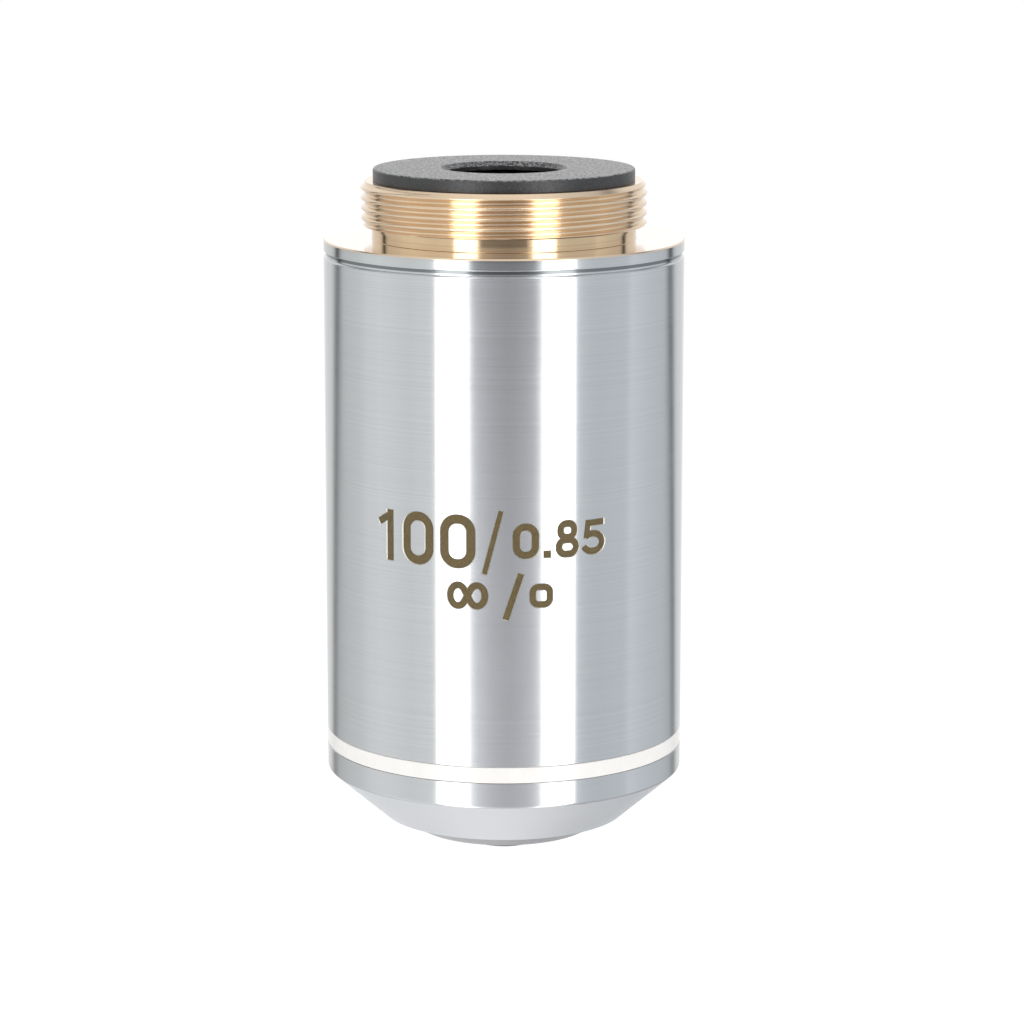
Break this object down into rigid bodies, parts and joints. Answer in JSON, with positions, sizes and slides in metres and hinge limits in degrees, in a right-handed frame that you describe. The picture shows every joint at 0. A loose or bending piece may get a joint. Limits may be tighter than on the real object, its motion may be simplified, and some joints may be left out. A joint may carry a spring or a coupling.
{
  "type": "microscope objective",
  "caption": "Spring-loaded dry microscope objective: threaded brass mount, plated sleeve with a white band, and a retracting nose with a full lens train.",
  "frame": {"origin": "on the optical axis, in the plane of the mounting shoulder", "axes": "+Z along the optical axis, from the specimen towards the thread"},
  "size_m": [0.0256, 0.0256, 0.0492],
  "materials": {
    "brass_body": "fine turned, bright",
    "plated_sleeve": "satin chrome plate over brass, turned round",
    "plated_nose": "matte chrome plate over brass",
    "white_enamel": "smooth enamel, cream white",
    "black_baffle": "bead-blasted, black anodised",
    "black_tip": "blackened, fine turned",
    "blackened_brass": "blackened, matte",
    "plain_brass": "turned",
    "screw_steel": "oiled",
    "spring_steel": "drawn wire",
    "coated_glass": "polished, with an anti-reflection coating"
  },
  "bodies": {
    "housing": {"mount_body": "brass_body", "rear_baffle": "black_baffle", "outer_sleeve": "plated_sleeve", "colour_band": "white_enamel", "parfocal_shim": "plain_brass", "stop_ring": "plain_brass", "stop_lock_ring": "plain_brass", "guide_screw": "screw_steel", "return_spring": "spring_steel"},
    "lens_unit": {"lens_barrel": "blackened_brass", "nose_cap": "plated_nose", "front_cell": "black_tip", "front_lens": "coated_glass", "meniscus_cell": "blackened_brass", "meniscus_lens": "coated_glass", "collector_cell": "blackened_brass", "collector_lens": "coated_glass", "doublet_a_cell": "blackened_brass", "doublet_a_flint": "coated_glass", "doublet_a_crown": "coated_glass", "doublet_b_cell": "blackened_brass", "doublet_b_crown": "coated_glass", "doublet_b_flint": "coated_glass", "doublet_c_cell": "blackened_brass", "doublet_c_crown": "coated_glass", "doublet_c_flint": "coated_glass", "spacer_ring": "blackened_brass", "aperture_stop": "blackened_brass", "gauss_cell": "blackened_brass", "gauss_crown": "coated_glass", "gauss_flint": "coated_glass", "rear_cell": "blackened_brass", "rear_flint": "coated_glass", "rear_crown": "coated_glass", "retaining_ring": "blackened_brass", "centring_screws": "screw_steel"}
  },
  "joints": [
    {"name": "nose_retract", "type": "slide", "parent": "housing", "child": "lens_unit", "axis": [0, 0, 1], "range_m": [0, 0.0018], "stiffness_N_per_m": 400, "springref_m": -0.004, "deforming": ["return_spring"]}
  ]
}
